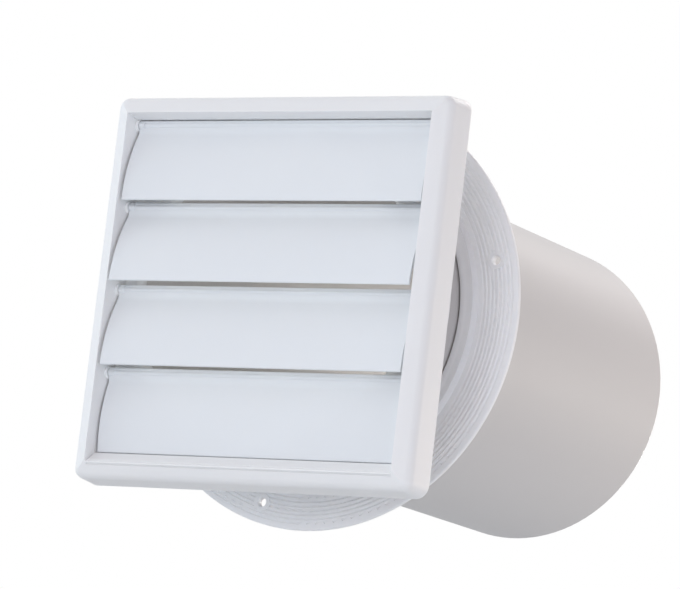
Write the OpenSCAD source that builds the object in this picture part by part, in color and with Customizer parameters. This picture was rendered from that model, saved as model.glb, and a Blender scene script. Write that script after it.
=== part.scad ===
// Through-wall exhaust vent for a portable air conditioner.
// A square grille with four gravity blades has a collar at its back, a plain
// round duct is pushed into the collar, and a grooved wall flange slides on it.
// X is to the right, Y runs into the wall along the duct and Z is up.
// The origin is the centre of the grille's wall plane.

/* [Grille frame] */
// Width and height of the grille
frame_w = 190; // [178:1:210]
// Depth of the grille in front of the wall
frame_d = 19.6; // [18.6:0.1:23]
// Width of the border round the blades
border_w = 10; // [9:0.5:12]
// Radius of the frame's corners, seen from the front
corner_r = 6.5; // [6.2:0.1:8.5]
// Slope of the border's front face, in degrees
border_slope = 28; // [22:1:32]
// Radius between the sloping front face and the outer side
border_round = 6; // [4.5:0.1:7]
// Lean of the outer side towards the front, in degrees
side_lean = 5.5; // [2:0.5:8]
// Wall thickness of the mouldings
wall = 2; // [1.6:0.1:2.2]
// Thickness of the ribs in the hollow border
rib_t = 1.5; // [1:0.1:2]
// How far the recess walls lean in at their back
recess_draft = 0.8; // [0.4:0.1:1]
// Distance of the back plate's front face from the wall plane
plate_front = 4; // [3.6:0.1:5]

/* [Blades] */
// How far each blade stands open, from the top one down, in degrees
blade_tilt = [12, 15.5, 13.5, 2.5];
// Thickness of a blade
blade_t = 1.4; // [1.2:0.1:1.6]
// Distance of the hinge lines behind the grille's front edge
hinge_in = 10.6; // [10.2:0.1:10.8]
// Height of the upright lip above a hinge line
lip_h = 2.4; // [1.8:0.1:2.8]
// Length of the upright strip below a hinge line
strip_h = 3.2; // [1:0.1:4]
// Lean of the strip against the line from hinge to lower edge, in degrees
strip_lean = 12.5; // [8:0.5:16]
// Radius of the hollow bend between strip and curved face
bend_r = 6; // [5:0.5:8]
// Slope at which the curved face leaves the bend, in degrees
face_slope = 15; // [11:0.5:17]
// Height between a blade's lower edge and the hinge line below it, both upright
blade_step = 1.2; // [1:0.1:2]
// Gap between a blade's end and the recess wall's front edge
blade_end_gap = 1.5; // [1.4:0.1:2]
// Radius of the end pins
pin_r = 1.3; // [1.1:0.05:1.4]
// Radial clearance of a pin in its hole
pin_clearance = 0.06; // [0.02:0.01:0.1]
// Radius of the hub that carries each end pin
hub_r = 1.8; // [1.6:0.1:2]
// Length of the hub along the blade
hub_l = 3; // [2:0.5:5]

/* [Recess] */
// How far the sealing rail hangs below the recess roof
rail_drop = 1.4; // [1:0.1:2]
// Gap between the sealing rail and the top blade's lip
rail_gap = 0.4; // [0.3:0.1:1]
// Distance of the rail's front behind the grille's front edge
rail_in = 7.6; // [6:0.2:8.6]
// Height of the sill's crest over the recess floor
sill_rise = 4.1; // [3.6:0.1:5]
// Gap between the sill's crest and the lowest blade
sill_gap = 0.4; // [0.3:0.1:1]
// Distance of the sill's crest behind the grille's front edge
crest_in = 7.4; // [6.6:0.1:7.8]
// How far the border is cut down in front of the sill
sill_cut = 2.6; // [2:0.1:3]
// Width of the slot between sill and border
slot_w = 0.8; // [0.6:0.1:1.2]
// Depth of that slot below the sill's nose
slot_d = 1; // [0.6:0.1:1.4]

/* [Collar and duct] */
// Outer radius of the duct
duct_r = 77; // [76:0.1:77.2]
// Wall thickness of the duct
duct_t = 2; // [1.6:0.1:2.6]
// Distance of the duct's free end from the wall plane
duct_end = 255; // [150:1:400]
// Length of the collar that the duct is pushed into
collar_l = 28; // [15:1:34]
// Radial play of the duct in the collar
collar_play = 0.1; // [0.05:0.05:0.2]
// Depth of the chamfer in the collar's mouth
collar_chamfer = 1; // [0.5:0.1:1.4]

/* [Wall flange] */
// Outer radius of the flange
flange_r = 106; // [104.4:0.1:112]
// Distance of the flange's front face from the wall plane
flange_y = 44.3; // [42:0.1:120]
// Thickness of the flange
flange_t = 3.2; // [3:0.1:4]
// Radial gap between the duct and the flange's hole
flange_gap = 0.7; // [0.4:0.1:1]
// How far the raised ring stands out in front of the face
ring_h = 5.3; // [4:0.1:6]
// Radius of the ring's rounded shoulder
ring_round = 6.5; // [6:0.1:7]
// Radius of the first groove's centre line
groove_first_r = 88; // [87:0.1:89]
// Distance between grooves
groove_pitch = 2.1; // [2:0.05:2.3]
// Number of grooves
groove_count = 8; // [4:1:8]
// Depth of a groove
groove_depth = 0.5; // [0.3:0.05:0.8]
// Width of the band along the rim that falls back
rim_w = 7.6; // [5:0.1:9]
// Slope of that band, in degrees
rim_slope = 9; // [4:0.5:11]

/* [Screws] */
// Radius of the screw holes
screw_r = 2.2; // [1.8:0.1:2.6]
// Distance of the grille's screws from its centre lines
grille_screw = 72; // [68:1:74]
// Radius of the pillars round the grille's screws
pillar_r = 5; // [4:0.5:6]
// Radius of the flange's screw circle
flange_screw_r = 95.9; // [94:0.1:98]
// Direction of the flange's first screw, in degrees
flange_screw_at = 16.5; // [0:0.5:119]
// Number of screws in the flange
flange_screws = 3; // [3:1:6]
// Radius of the smooth pad round a flange screw
pad_r = 4.4; // [4:0.1:5]

/* [Hidden] */
$fn = 96;
eps = 0.01;
// How far cuts run past the face that they open
cut = 1;

// Half width of the opening at the front edge, and distance to the corners' centres
open_x = frame_w / 2 - border_w;
corner_x = frame_w / 2 - corner_r;
plate_back = plate_front - wall;
floor_z = -open_x;
rib_at = [-60, -20, 20, 60];
journal_r = 3;
journal_l = recess_draft + 0.5;
stop_t = 1.4;
stop_h = 3;
stop_gap = 0.7;
// Hinge lines, spaced so that the blades fill the height from rail to sill
blade_count = len(blade_tilt);
hinge_out = frame_d - hinge_in;
rail_out = frame_d - rail_in;
crest_out = frame_d - crest_in;
rail_z = open_x - rail_drop;
crest_z = floor_z + sill_rise;
first_hinge_z = rail_z - rail_gap - lip_h;
blade_pitch = (first_hinge_z - crest_z - sill_gap + blade_step) / blade_count;
blade_drop = blade_pitch - blade_step;
hinge_zs = [for (i = [0:blade_count - 1]) first_hinge_z - i * blade_pitch];
blade_half = open_x - blade_end_gap;
pin_reach = 1.2;
pin_end = open_x + pin_reach;
// The duct's bore, the collar round it and the rounded inlet in front of it
bore_r = duct_r - duct_t;
collar_r = duct_r + collar_play;
mouth_round = plate_front;
// Raised ring, rim and grooves of the flange
edge_r = 0.8;
groove_r = 0.8;
pad_h = 0.3;
sink_depth = 0.5;
flange_bore_r = duct_r + flange_gap;
ring_front = flange_y - ring_h;
ring_centre = [flange_bore_r + edge_r, ring_front + ring_round];
flange_back = flange_y + flange_t;
rim_start_r = flange_r - rim_w;

// Turns a solid drawn round the Z axis so that it runs round the Y axis
module along_y() {
    rotate([-90, 0, 0]) children();
}

// Extrudes a (Y, Z) outline along X, centred
module along_x(length) {
    translate([-length / 2, 0, 0])
        rotate([90, 0, 90])
            linear_extrude(length) children();
}

// Normals of the border's sloping face and of its leaning side, into the wall
face_normal = [-sin(border_slope), cos(border_slope)];
side_normal = [-cos(side_lean), sin(side_lean)];

// Centre of the round edge, which touches both faces
round_centre = let (
    face = border_round + face_normal * [0, -frame_d],
    side = border_round + side_normal * [border_w, 0],
    cross = face_normal[0] * side_normal[1] - face_normal[1] * side_normal[0]
) [
    (face * side_normal[1] - face_normal[1] * side) / cross,
    (face_normal[0] * side - face * side_normal[0]) / cross
];

// Cross-section of the border: distance from the inner edge, then depth.
// It is drawn a wall's inset inside the outer skin, from a given inner distance.
module border_section(inset, inner) {
    r = border_round - inset;
    face_end = round_centre - r * face_normal;
    side_end = round_centre - r * side_normal;
    back = inset > 0 ? cut : 0;
    intersection() {
        translate([inner, -frame_d]) square([border_w - inner, frame_d + cut]);
        union() {
            translate(round_centre) circle(r);
            polygon([
                [inner, face_end[1] - (face_end[0] - inner) * tan(border_slope)],
                face_end, round_centre, side_end,
                [side_end[0] + (back - side_end[1]) * tan(side_lean), back],
                [inner, back]
            ]);
        }
    }
}

// Cross-section of the whole frame, filled between its two borders
module frame_section() {
    for (side = [0, 1])
        mirror([side, 0]) translate([open_x, 0]) border_section(0, -cut);
    translate([-open_x, -frame_d]) square([2 * open_x, frame_d]);
}

// Four borders that meet in mitres, with round corners and open on the inside
module solid_border() {
    difference() {
        union() {
            intersection() {
                linear_extrude(frame_w, center = true) frame_section();
                rotate([0, 90, 0]) linear_extrude(frame_w, center = true) frame_section();
                union() {
                    cube([2 * corner_x, 3 * frame_d, frame_w], center = true);
                    cube([frame_w, 3 * frame_d, 2 * corner_x], center = true);
                }
            }
            for (turn = [0:3])
                rotate([0, 90 * turn, 0])
                    translate([corner_x, 0, -corner_x])
                        along_y()
                            rotate_extrude(angle = 90)
                                translate([corner_r - border_w, 0])
                                    border_section(0, border_w - corner_r);
        }
        cube([2 * open_x, 3 * frame_d, 2 * open_x], center = true);
    }
}

// Hollow of the borders and corners, a wall's thickness under the skin
module border_hollow() {
    for (turn = [0:3])
        rotate([0, 90 * turn, 0])
            translate([open_x, 0, -open_x]) {
                linear_extrude(2 * open_x) border_section(wall, wall);
                along_y() rotate_extrude(angle = 90) border_section(wall, wall);
            }
}

// Ribs that cross the hollow border on all four sides
module border_ribs() {
    for (turn = [0:3], along = rib_at)
        rotate([0, 90 * turn, 0])
            translate([open_x, -frame_d, along - rib_t / 2])
                cube([border_w - wall / 2, frame_d - wall / 2, rib_t]);
}

// Border moulding, open at the back and stiffened by its ribs
module hollow_border() {
    difference() {
        solid_border();
        difference() {
            border_hollow();
            border_ribs();
        }
    }
}

// Leaning inner faces of the recess
module recess_lining() {
    front = frame_d - wall / 2;
    for (turn = [0:3])
        rotate([0, 90 * turn, 0])
            translate([open_x, 0, -open_x])
                linear_extrude(2 * open_x)
                    polygon([
                        [eps, -front], [0, -front], [-recess_draft, -plate_front],
                        [-recess_draft, -plate_back], [eps, -plate_back]
                    ]);
}

// Back plate with its rounded inlet, and the collar for the duct behind it
module plate_and_collar() {
    difference() {
        translate([-open_x - eps, -plate_front, -open_x - eps])
            cube([2 * (open_x + eps), wall, 2 * (open_x + eps)]);
        along_y() cylinder(h = 2 * (plate_front + cut), r = bore_r + mouth_round, center = true);
    }
    along_y() rotate_extrude() {
        intersection() {
            translate([bore_r + mouth_round, 0]) circle(mouth_round);
            translate([bore_r, -plate_front]) square([mouth_round + eps, plate_front]);
        }
        difference() {
            translate([collar_r, -eps]) square([wall, collar_l + eps]);
            translate([collar_r, collar_l])
                polygon([[-eps, -collar_chamfer], [collar_chamfer, eps], [-eps, eps]]);
        }
    }
}

// Length that fills the recess between its leaning side walls
module across_recess() {
    along_x(2 * open_x - recess_draft) children();
}

// Sealing rail in front of the top blade's hinge, sloping up to the border
module sealing_rail() {
    across_recess()
        polygon([
            [-plate_back, open_x + eps], [-plate_back, rail_z], [-rail_out, rail_z],
            [wall / 2 - frame_d, open_x], [wall / 2 - frame_d, open_x + eps]
        ]);
}

// Sloping sill below the blades, hollow at the back, with the lowest blade's stop
module drainage_sill() {
    nose = frame_d - wall / 2;
    nose_z = floor_z - sill_cut + slot_w;
    across_recess()
        difference() {
            polygon([
                [-plate_back, floor_z - wall], [-plate_back, crest_z], [-crest_out, crest_z],
                [-nose, nose_z + slot_w], [-nose, nose_z], [slot_d - nose, nose_z],
                [slot_d - nose, floor_z - wall]
            ]);
            polygon([
                [eps, nose_z + wall], [eps, crest_z - wall],
                [wall / 2 - crest_out, crest_z - wall], [2 * wall - nose, nose_z + wall]
            ]);
        }
    across_recess()
        translate([stop_gap + blade_t / 2 - hinge_out, crest_z - eps]) square([stop_t, stop_h]);
}

// Journals for the blade pins on both recess walls
module journals() {
    for (side = [-1, 1], z = hinge_zs)
        translate([side * open_x, -hinge_out, z])
            rotate([0, -side * 90, 0])
                cylinder(h = journal_l, r = journal_r);
}

// Repeats its children at the four corner screws, on the plate's front face
module at_corner_screws() {
    for (x = [-1, 1], z = [-1, 1])
        translate([x * grille_screw, -plate_front, z * grille_screw])
            along_y() children();
}

module grille_frame() {
    color([0.94, 0.95, 0.96])
    difference() {
        union() {
            difference() {
                union() {
                    hollow_border();
                    recess_lining();
                }
                translate([recess_draft / 2 - open_x, -frame_d - cut, floor_z - sill_cut])
                    cube([2 * open_x - recess_draft, wall / 2 + slot_d + cut, sill_cut + cut]);
            }
            plate_and_collar();
            sealing_rail();
            drainage_sill();
            journals();
            at_corner_screws() cylinder(h = plate_front, r = pillar_r);
        }
        at_corner_screws()
            translate([0, 0, -cut]) cylinder(h = plate_front + 2 * cut, r = screw_r);
        for (side = [-1, 1], z = hinge_zs)
            translate([side * (open_x - journal_l - cut), -hinge_out, z])
                rotate([0, side * 90, 0])
                    cylinder(h = journal_l + wall + 2 * cut, r = pin_r + pin_clearance);
    }
}

// Direction down a blade's section at an angle from upright, and its front normal
function down(angle) = [sin(angle), -cos(angle)];
function front(angle) = [-cos(angle), -sin(angle)];

// Part of a ring of blade thickness between two rays from its centre
module bent_strip(centre, r, ray_a, ray_b) {
    reach = 1.3 * (r + blade_t);
    intersection() {
        translate(centre)
            difference() {
                circle(r + blade_t / 2, $fn = 360);
                circle(r - blade_t / 2, $fn = 360);
            }
        polygon([centre, centre + reach * ray_a, centre + reach * ray_b]);
    }
}

// Cross-section of a closed blade round its hinge line: upright lip and strip,
// a hollow bend, and the face that curves back to the lower edge
module blade_section() {
    half = blade_t / 2 * front(strip_lean);
    top = -(lip_h - blade_t / 2) * down(strip_lean);
    strip_end = strip_h * down(strip_lean);
    bend_centre = strip_end + bend_r * front(strip_lean);
    face_top = bend_centre - bend_r * front(-face_slope);
    edge = [0, -blade_drop + blade_t / 2];
    run = edge - face_top;
    face_r = (run * run) / (-2 * (run * front(-face_slope)));
    face_centre = face_top - face_r * front(-face_slope);
    for (joint = [top, strip_end, face_top, edge])
        translate(joint) circle(blade_t / 2, $fn = 32);
    polygon([top + half, top - half, strip_end - half, strip_end + half]);
    bent_strip(bend_centre, bend_r, -front(strip_lean), -front(-face_slope));
    bent_strip(face_centre, face_r, front(-face_slope), (edge - face_centre) / face_r);
}

module louvre_blade(i) {
    color([0.90, 0.93, 0.97])
    translate([0, -hinge_out, hinge_zs[i]])
        rotate([-blade_tilt[i], 0, 0]) {
            along_x(2 * blade_half) blade_section();
            for (side = [-1, 1])
                translate([side * (blade_half - hub_l), 0, 0])
                    rotate([0, side * 90, 0])
                        cylinder(h = hub_l, r = hub_r);
            rotate([0, 90, 0]) cylinder(h = 2 * pin_end, r = pin_r, center = true);
        }
}

module louvre_blade_1() { louvre_blade(0); }
module louvre_blade_2() { louvre_blade(1); }
module louvre_blade_3() { louvre_blade(2); }
module louvre_blade_4() { louvre_blade(3); }

// Front height of the flange's face at a radius
function face_y(r) = flange_y + max(0, r - rim_start_r) * tan(rim_slope);

// Ring that is rounded outwards, with a pocket behind it
module ring_section() {
    difference() {
        union() {
            intersection() {
                translate(ring_centre) circle(ring_round);
                translate([ring_centre[0], ring_front])
                    square([ring_round, flange_back - ring_front]);
            }
            translate([flange_bore_r, ring_front + edge_r])
                square([ring_round, flange_back - ring_front - edge_r]);
            translate([flange_bore_r + edge_r, ring_front + edge_r]) circle(edge_r);
        }
        intersection() {
            translate([flange_bore_r + wall, ring_front]) square([ring_round, flange_back]);
            union() {
                translate(ring_centre) circle(ring_round - wall);
                translate(ring_centre) square([ring_round - wall, flange_t + cut]);
            }
        }
    }
}

// Flat face with its falling rim and rounded edge, from the ring's pocket outwards
module face_section() {
    inner = ring_centre[0] + ring_round - wall;
    rim_edge = let (r = flange_r - edge_r) [r, face_y(r) + edge_r / cos(rim_slope)];
    difference() {
        union() {
            polygon([
                [inner, flange_y], [rim_start_r, flange_y],
                rim_edge + edge_r * [sin(rim_slope), -cos(rim_slope)],
                rim_edge, [rim_edge[0], flange_back], [inner, flange_back]
            ]);
            translate(rim_edge) circle(edge_r);
            translate(rim_edge - [edge_r, 0])
                square([2 * edge_r, flange_back - rim_edge[1]]);
        }
        for (k = [0:groove_count - 1]) {
            r = groove_first_r + k * groove_pitch;
            translate([r, face_y(r) - groove_r + groove_depth]) circle(groove_r, $fn = 24);
        }
    }
}

// Repeats its children at the flange's screws, on the flange's face
module at_flange_screws() {
    for (k = [0:flange_screws - 1])
        rotate([0, -flange_screw_at - k * 360 / flange_screws, 0])
            translate([flange_screw_r, flange_y, 0]) along_y() children();
}

module wall_flange() {
    color([0.86, 0.86, 0.90])
    difference() {
        union() {
            along_y()
                rotate_extrude($fn = 180) {
                    ring_section();
                    face_section();
                }
            at_flange_screws() translate([0, 0, -pad_h]) cylinder(h = flange_t, r = pad_r);
        }
        at_flange_screws() translate([0, 0, -cut]) cylinder(h = flange_t + 2 * cut, r = screw_r);
        at_flange_screws()
            translate([0, 0, -pad_h - eps])
                cylinder(h = sink_depth, r1 = screw_r + sink_depth, r2 = screw_r);
    }
}

module duct_tube() {
    color([0.80, 0.78, 0.77])
    along_y() rotate_extrude($fn = 180)
        translate([bore_r, 0]) square([duct_t, duct_end]);
}

grille_frame();
louvre_blade_1();
louvre_blade_2();
louvre_blade_3();
louvre_blade_4();
wall_flange();
duct_tube();
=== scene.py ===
"""Looks of a through-wall exhaust vent: louvre grille, gravity blades, wall flange and duct.

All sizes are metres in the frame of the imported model: X to the right, Y into the
wall along the duct, Z up, origin at the centre of the grille's wall plane.
"""

import functools
import logging
import math
from dataclasses import dataclass, field
from enum import Enum

import bpy
from mathutils import Matrix, Vector

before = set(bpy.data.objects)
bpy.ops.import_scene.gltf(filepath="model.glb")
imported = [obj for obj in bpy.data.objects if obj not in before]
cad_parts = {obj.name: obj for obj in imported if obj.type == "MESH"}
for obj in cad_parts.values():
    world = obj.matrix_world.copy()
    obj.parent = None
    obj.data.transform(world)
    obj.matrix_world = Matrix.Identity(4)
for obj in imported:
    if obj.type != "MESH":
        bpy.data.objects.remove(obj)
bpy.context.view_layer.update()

LOG = logging.getLogger("vent")

Colour = tuple[float, float, float]
Point = tuple[float, float, float]


class Texture(Enum):
    """Kinds of surface that the plastics of the vent have."""

    MOULDED = "moulded"
    EXTRUDED = "extruded"


@dataclass(frozen=True)
class Plastic:
    """A finish of white plastic with faint mottling and a fine grain.

    Attributes:
        name: Name of the material.
        colour: Linear base colour.
        tint: Linear colour that the base colour drifts to in patches.
        roughness: Middle roughness of the surface.
        roughness_spread: How far the roughness drifts either way.
        patch_size: Size of the colour's patches in metres.
        patch_detail: Number of finer layers in the colour's patches.
        gloss_patch_size: Size of the roughness's patches in metres.
        grain_size: Size of the fine grain in metres.
        grain_height: Height of the fine grain in metres.
        fine_detail: Number of finer layers in the roughness's patches and the grain.
        soak: Share of the light that soaks into the plastic and comes out again.
        soak_depth: How far that light travels, in metres.
        soak_colours: Share of that depth for red, green and blue light.
        refraction: Index of refraction of the plastic.
        texture: Whether the surface was moulded or extruded.
        extruded_density: How closely an extruded surface's patterns lie along X, Y and Z.
    """

    name: str
    colour: Colour
    tint: Colour
    roughness: float
    roughness_spread: float = 0.05
    patch_size: float = 0.045
    patch_detail: float = 3.0
    gloss_patch_size: float = 0.02
    grain_size: float = 0.0006
    grain_height: float = 0.000005
    fine_detail: float = 2.0
    soak: float = 0.3
    soak_depth: float = 0.002
    soak_colours: Colour = (1.0, 0.95, 0.9)
    refraction: float = 1.48
    texture: Texture = Texture.MOULDED
    extruded_density: Point = (1.0, 0.06, 1.0)

    @functools.cache
    def material(self) -> bpy.types.Material:
        """Builds the node material of this finish once and shares it.

        Returns:
            The material.
        """
        material = bpy.data.materials.new(self.name)
        material.use_nodes = True
        material.diffuse_color = (*self.colour, 1.0)
        tree = material.node_tree
        shader = tree.nodes["Principled BSDF"]
        shader.inputs["IOR"].default_value = self.refraction
        shader.inputs["Subsurface Weight"].default_value = self.soak
        shader.inputs["Subsurface Scale"].default_value = self.soak_depth
        shader.inputs["Subsurface Radius"].default_value = self.soak_colours
        place = self._place(tree)
        self._paint(tree, shader, place)
        self._gloss(tree, shader, place)
        self._grain(tree, shader, place)
        return material

    def _place(self, tree: bpy.types.NodeTree) -> bpy.types.NodeSocket:
        """Makes the coordinates that every pattern of this finish reads.

        Args:
            tree: Node tree of the material.

        Returns:
            The socket with the coordinates, drawn out along the duct where extruded.
        """
        where = tree.nodes.new("ShaderNodeTexCoord")
        mapping = tree.nodes.new("ShaderNodeMapping")
        if self.texture is Texture.EXTRUDED:
            mapping.inputs["Scale"].default_value = self.extruded_density
        tree.links.new(where.outputs["Object"], mapping.inputs["Vector"])
        return mapping.outputs["Vector"]

    def _noise(self, tree: bpy.types.NodeTree, place: bpy.types.NodeSocket, size: float,
               detail: float) -> bpy.types.NodeSocket:
        """Makes a noise pattern.

        Args:
            tree: Node tree of the material.
            place: Coordinates of the pattern.
            size: Size of its features in metres.
            detail: Number of finer layers.

        Returns:
            The socket with the pattern's value.
        """
        noise = tree.nodes.new("ShaderNodeTexNoise")
        noise.inputs["Scale"].default_value = 1.0 / size
        noise.inputs["Detail"].default_value = detail
        tree.links.new(place, noise.inputs["Vector"])
        return noise.outputs["Fac"]

    def _paint(self, tree: bpy.types.NodeTree, shader: bpy.types.Node,
               place: bpy.types.NodeSocket) -> None:
        """Links the mottled colour to the shader.

        Args:
            tree: Node tree of the material.
            shader: The principled shader.
            place: Coordinates of the patterns.
        """
        mix = tree.nodes.new("ShaderNodeMix")
        mix.data_type = "RGBA"
        mix.inputs["A"].default_value = (*self.colour, 1.0)
        mix.inputs["B"].default_value = (*self.tint, 1.0)
        patches = self._noise(tree, place, self.patch_size, self.patch_detail)
        tree.links.new(patches, mix.inputs["Factor"])
        tree.links.new(mix.outputs["Result"], shader.inputs["Base Color"])

    def _gloss(self, tree: bpy.types.NodeTree, shader: bpy.types.Node,
               place: bpy.types.NodeSocket) -> None:
        """Links the drifting roughness to the shader.

        Args:
            tree: Node tree of the material.
            shader: The principled shader.
            place: Coordinates of the patterns.
        """
        drift = tree.nodes.new("ShaderNodeMapRange")
        drift.inputs["To Min"].default_value = self.roughness - self.roughness_spread
        drift.inputs["To Max"].default_value = self.roughness + self.roughness_spread
        patches = self._noise(tree, place, self.gloss_patch_size, self.fine_detail)
        tree.links.new(patches, drift.inputs["Value"])
        tree.links.new(drift.outputs["Result"], shader.inputs["Roughness"])

    def _grain(self, tree: bpy.types.NodeTree, shader: bpy.types.Node,
               place: bpy.types.NodeSocket) -> None:
        """Links the fine grain to the shader as a bump.

        Args:
            tree: Node tree of the material.
            shader: The principled shader.
            place: Coordinates of the patterns.
        """
        bump = tree.nodes.new("ShaderNodeBump")
        bump.inputs["Distance"].default_value = self.grain_height
        grain = self._noise(tree, place, self.grain_size, self.fine_detail)
        tree.links.new(grain, bump.inputs["Height"])
        tree.links.new(bump.outputs["Normal"], shader.inputs["Normal"])


@dataclass(frozen=True)
class EdgeSoftening:
    """The small radius that a mould leaves on every sharp edge.

    Attributes:
        radius: Radius of the edge in metres.
        steps: Number of facets across the edge.
        sharp_angle: Smallest angle in degrees between faces that counts as an edge.
        joining: Distance in metres within which corners of faces are joined first.
        large_face_weight: How much more large faces count in the shading, from 1 to 100.
        same_size: How close in area faces are that count as equally large.
    """

    radius: float = 0.00025
    steps: int = 2
    sharp_angle: float = 32.0
    joining: float = 0.000002
    large_face_weight: int = 100
    same_size: float = 0.01

    def apply(self, piece: bpy.types.Object) -> None:
        """Rounds the edges of a piece with modifiers and lets its large faces set the shading.

        Args:
            piece: The piece whose edges are softened.
        """
        weld = piece.modifiers.new("join_corners", "WELD")
        weld.merge_threshold = self.joining
        bevel = piece.modifiers.new("moulded_edges", "BEVEL")
        bevel.width = self.radius
        bevel.segments = self.steps
        bevel.limit_method = "ANGLE"
        bevel.angle_limit = math.radians(self.sharp_angle)
        bevel.use_clamp_overlap = True
        shading = piece.modifiers.new("true_normals", "WEIGHTED_NORMAL")
        shading.mode = "FACE_AREA"
        shading.weight = self.large_face_weight
        shading.thresh = self.same_size


WHITE_MOULDING = Plastic(
    name="white_moulding", colour=(0.87, 0.87, 0.87), tint=(0.85, 0.855, 0.86), roughness=0.42
)
BLADE_MOULDING = Plastic(
    name="blade_moulding", colour=(0.80, 0.825, 0.845), tint=(0.785, 0.812, 0.838), roughness=0.45
)
FLANGE_MOULDING = Plastic(
    name="flange_moulding", colour=(0.85, 0.85, 0.86), tint=(0.825, 0.83, 0.845), roughness=0.45
)
DUCT_PLASTIC = Plastic(
    name="duct_plastic", colour=(0.625, 0.607, 0.6), tint=(0.6, 0.587, 0.58), roughness=0.5,
    roughness_spread=0.07, soak=0.0, texture=Texture.EXTRUDED,
)


@dataclass
class DressedNode:
    """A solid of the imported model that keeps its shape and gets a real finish.

    Attributes:
        node: Name of the node.
        finish: Plastic that it is made of.
        softening: Radius left on its sharp edges.
    """

    node: str
    finish: Plastic
    softening: EdgeSoftening = field(default_factory=EdgeSoftening)

    def build(self) -> None:
        """Puts the finish on the node and softens its edges."""
        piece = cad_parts[self.node]
        piece.data.materials.clear()
        piece.data.materials.append(self.finish.material())
        self.softening.apply(piece)
        LOG.info("%s: %s", self.node, self.finish.name)


@dataclass
class LouvreGrille:
    """The square grille: its moulded frame and the four gravity blades.

    Attributes:
        frame_node: Name of the frame's node.
        blade_nodes: Names of the blades' nodes, from the top one down.
    """

    frame_node: str = "grille_frame"
    blade_nodes: tuple[str, ...] = (
        "louvre_blade_1", "louvre_blade_2", "louvre_blade_3", "louvre_blade_4"
    )

    def build(self) -> None:
        """Dresses the frame and the blades."""
        DressedNode(self.frame_node, WHITE_MOULDING).build()
        for blade in self.blade_nodes:
            DressedNode(blade, BLADE_MOULDING).build()


@dataclass
class DuctRun:
    """The round duct behind the grille and the wall flange that slides on it.

    Attributes:
        duct_node: Name of the duct's node.
        flange_node: Name of the flange's node.
        groove_softening: Radius left on the edges of the flange and its fine grooves.
    """

    duct_node: str = "duct_tube"
    flange_node: str = "wall_flange"
    groove_softening: EdgeSoftening = field(
        default_factory=lambda: EdgeSoftening(radius=0.00012)
    )

    def build(self) -> None:
        """Dresses the duct and the flange."""
        DressedNode(self.duct_node, DUCT_PLASTIC).build()
        DressedNode(self.flange_node, FLANGE_MOULDING, self.groove_softening).build()


@dataclass
class PhotoCamera:
    """The camera at the photograph's place.

    Attributes:
        eye: Place of the camera.
        aim: Point that the middle of the picture looks at.
        roll: Turn of the camera about its own axis, in degrees.
        lens: Focal length in millimetres.
        sensor_width: Width of the sensor in millimetres.
        far_end: Distance in metres beyond which the camera sees nothing.
    """

    eye: Point = (1.1632, -1.8417, -0.3573)
    aim: Point = (-0.0133, 0.0787, 0.0161)
    roll: float = 6.687
    lens: float = 245.69
    sensor_width: float = 36.0
    far_end: float = 20.0

    def build(self) -> None:
        """Makes the camera and gives it to the scene."""
        data = bpy.data.cameras.new("photo_camera")
        data.lens = self.lens
        data.sensor_width = self.sensor_width
        data.sensor_fit = "HORIZONTAL"
        data.clip_end = self.far_end
        camera = bpy.data.objects.new("photo_camera", data)
        bpy.context.scene.collection.objects.link(camera)
        line = Vector(self.aim) - Vector(self.eye)
        turn = line.to_track_quat("-Z", "Y").to_matrix() @ Matrix.Rotation(
            math.radians(self.roll), 3, "Z"
        )
        camera.matrix_world = Matrix.Translation(Vector(self.eye)) @ turn.to_4x4()
        bpy.context.scene.camera = camera
        LOG.info("camera: %.1f mm lens, %.2f m away", self.lens, line.length)


@dataclass(frozen=True)
class SoftLamp:
    """A square lamp that points at the vent and that the camera doesn't see.

    Attributes:
        name: Name of the lamp.
        place: Place of the lamp's middle.
        size: Side of the lamp in metres.
        power: Power in watts.
        colour: Colour of its light.
    """

    name: str
    place: Point
    size: float
    power: float
    colour: Colour

    def build(self, target: Point) -> None:
        """Makes the lamp.

        Args:
            target: Point that the lamp points at.
        """
        data = bpy.data.lights.new(self.name, "AREA")
        data.size = self.size
        data.energy = self.power
        data.color = self.colour
        lamp = bpy.data.objects.new(self.name, data)
        lamp.visible_camera = False
        bpy.context.scene.collection.objects.link(lamp)
        line = Vector(target) - Vector(self.place)
        turn = line.to_track_quat("-Z", "Y").to_matrix()
        lamp.matrix_world = Matrix.Translation(Vector(self.place)) @ turn.to_4x4()
        LOG.info("%s: %.1f W", self.name, self.power)


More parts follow.
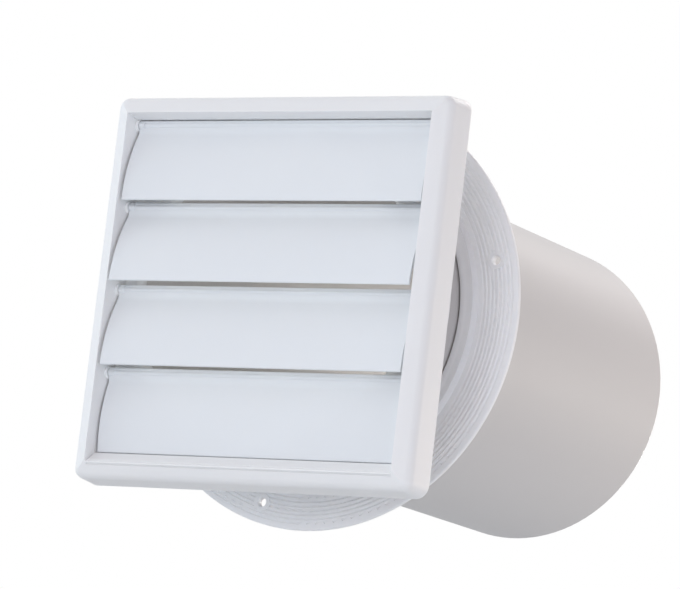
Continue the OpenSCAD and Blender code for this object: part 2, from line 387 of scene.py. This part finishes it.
@dataclass(frozen=True)
class Surroundings:
    """White tent round the vent, whose light changes evenly from side to side.

    Attributes:
        middle: Light halfway between all sides.
        rightward: What is added on the right side and taken away on the left.
        wallward: What is added behind the vent and taken away in front.
        upward: What is added at the top and taken away at the bottom.
    """

    middle: Colour = (0.565, 0.584, 0.635)
    rightward: Colour = (-0.38, -0.472, -0.524)
    wallward: Colour = (-0.14, -0.11, -0.088)
    upward: Colour = (0.01, 0.0, -0.01)

    def build(self) -> None:
        """Makes the world, which the camera, gloss and glass see as plain white."""
        world = bpy.data.worlds.new("white_tent")
        world.use_nodes = True
        bpy.context.scene.world = world
        tree = world.node_tree
        mix = tree.nodes.new("ShaderNodeMix")
        mix.data_type = "RGBA"
        mix.inputs["B"].default_value = (1.0, 1.0, 1.0, 1.0)
        tree.links.new(self._seen_directly(tree), mix.inputs["Factor"])
        tree.links.new(self._light(tree), mix.inputs["A"])
        tree.links.new(mix.outputs["Result"], tree.nodes["Background"].inputs["Color"])
        LOG.info("surroundings: middle %s", self.middle)

    def _light(self, tree: bpy.types.NodeTree) -> bpy.types.NodeSocket:
        """Makes the light of the tent in each direction.

        Args:
            tree: Node tree of the world.

        Returns:
            The socket with the light's colour.
        """
        where = tree.nodes.new("ShaderNodeTexCoord")
        sides = tree.nodes.new("ShaderNodeSeparateXYZ")
        tree.links.new(where.outputs["Generated"], sides.inputs["Vector"])
        changes = {"X": self.rightward, "Y": self.wallward, "Z": self.upward}
        light = None
        for side, change in changes.items():
            adding = tree.nodes.new("ShaderNodeVectorMath")
            adding.operation = "MULTIPLY_ADD"
            adding.inputs[1].default_value = change
            tree.links.new(sides.outputs[side], adding.inputs[0])
            if light is None:
                adding.inputs[2].default_value = self.middle
            else:
                tree.links.new(light, adding.inputs[2])
            light = adding.outputs["Vector"]
        return light

    def _seen_directly(self, tree: bpy.types.NodeTree) -> bpy.types.NodeSocket:
        """Makes a value that is 1 where the camera, a gloss or a glass sees the tent.

        Args:
            tree: Node tree of the world.

        Returns:
            The socket with the value.
        """
        path = tree.nodes.new("ShaderNodeLightPath")
        value = path.outputs["Is Camera Ray"]
        for ray in ("Is Glossy Ray", "Is Transmission Ray"):
            larger = tree.nodes.new("ShaderNodeMath")
            larger.operation = "MAXIMUM"
            tree.links.new(value, larger.inputs[0])
            tree.links.new(path.outputs[ray], larger.inputs[1])
            value = larger.outputs["Value"]
        return value


@dataclass
class Studio:
    """Plain white studio round the vent, with a pale floor well below it.

    Attributes:
        lamps: Lamps that light the vent.
        surroundings: The white tent round it.
        target: Point that the lamps point at.
        floor_drop: Distance of the floor below the axis of the duct, in metres.
        floor_size: Side of the floor in metres.
        floor_colour: Linear colour of the floor, as it lights the vent.
        floor_seen: Linear colour of the floor, as the camera sees it.
        floor_roughness: Roughness of the floor.
    """

    lamps: tuple[SoftLamp, ...] = (
        SoftLamp("front", place=(0.5, -3.0, 0.3), size=2.0, power=22.2, colour=(0.893, 0.934, 1.0)),
        SoftLamp("left", place=(-2.4, -0.8, 0.6), size=1.2, power=5.8, colour=(0.9, 0.98, 1.0)),
        SoftLamp("low_right", place=(1.8, -0.6, -0.8), size=1.2, power=13.0, colour=(0.79, 0.89, 1.0)),
        SoftLamp("high_back", place=(0.3, 1.6, 1.6), size=1.2, power=14.5, colour=(1.0, 0.97, 0.945)),
        SoftLamp("right_back", place=(0.7, 0.75, -0.1), size=0.5, power=2.6, colour=(1.0, 0.91, 0.79)),
        SoftLamp("behind_the_duct", place=(0.0, 0.95, 0.0), size=0.1, power=3.2, colour=(1.0, 0.98, 0.914)),
    )
    surroundings: Surroundings = field(default_factory=Surroundings)
    target: Point = (0.0, 0.05, 0.0)
    floor_drop: float = 1.0
    floor_size: float = 6.0
    floor_colour: Colour = (0.62, 0.62, 0.62)
    floor_seen: Colour = (0.93, 0.925, 0.915)
    floor_roughness: float = 0.8

    def build(self) -> None:
        """Makes the lamps, the tent and the floor."""
        for lamp in self.lamps:
            lamp.build(self.target)
        self.surroundings.build()
        self._floor()

    def _floor(self) -> None:
        """Makes the pale floor, which keeps the vent's shadow."""
        half = self.floor_size / 2
        mesh = bpy.data.meshes.new("floor")
        corners = [(-half, -half, 0), (half, -half, 0), (half, half, 0), (-half, half, 0)]
        mesh.from_pydata(corners, [], [(0, 1, 2, 3)])
        floor = bpy.data.objects.new("floor", mesh)
        floor.location.z = -self.floor_drop
        bpy.context.scene.collection.objects.link(floor)
        mesh.materials.append(self._floor_material())
        LOG.info("floor: %.2f m below the duct's axis", self.floor_drop)

    def _floor_material(self) -> bpy.types.Material:
        """Builds the floor's material, which the camera sees paler than it lights.

        Returns:
            The material.
        """
        material = bpy.data.materials.new("pale_floor")
        material.use_nodes = True
        tree = material.node_tree
        shader = tree.nodes["Principled BSDF"]
        shader.inputs["Roughness"].default_value = self.floor_roughness
        path = tree.nodes.new("ShaderNodeLightPath")
        mix = tree.nodes.new("ShaderNodeMix")
        mix.data_type = "RGBA"
        mix.inputs["A"].default_value = (*self.floor_colour, 1.0)
        mix.inputs["B"].default_value = (*self.floor_seen, 1.0)
        tree.links.new(path.outputs["Is Camera Ray"], mix.inputs["Factor"])
        tree.links.new(mix.outputs["Result"], shader.inputs["Base Color"])
        return material


def main() -> None:
    """Builds the camera, the studio and every part of the vent."""
    logging.basicConfig(level=logging.INFO, format="%(name)s %(message)s")
    bpy.context.scene.view_settings.view_transform = "Standard"
    PhotoCamera().build()
    Studio().build()
    LouvreGrille().build()
    DuctRun().build()


if __name__ == "__main__":
    main()
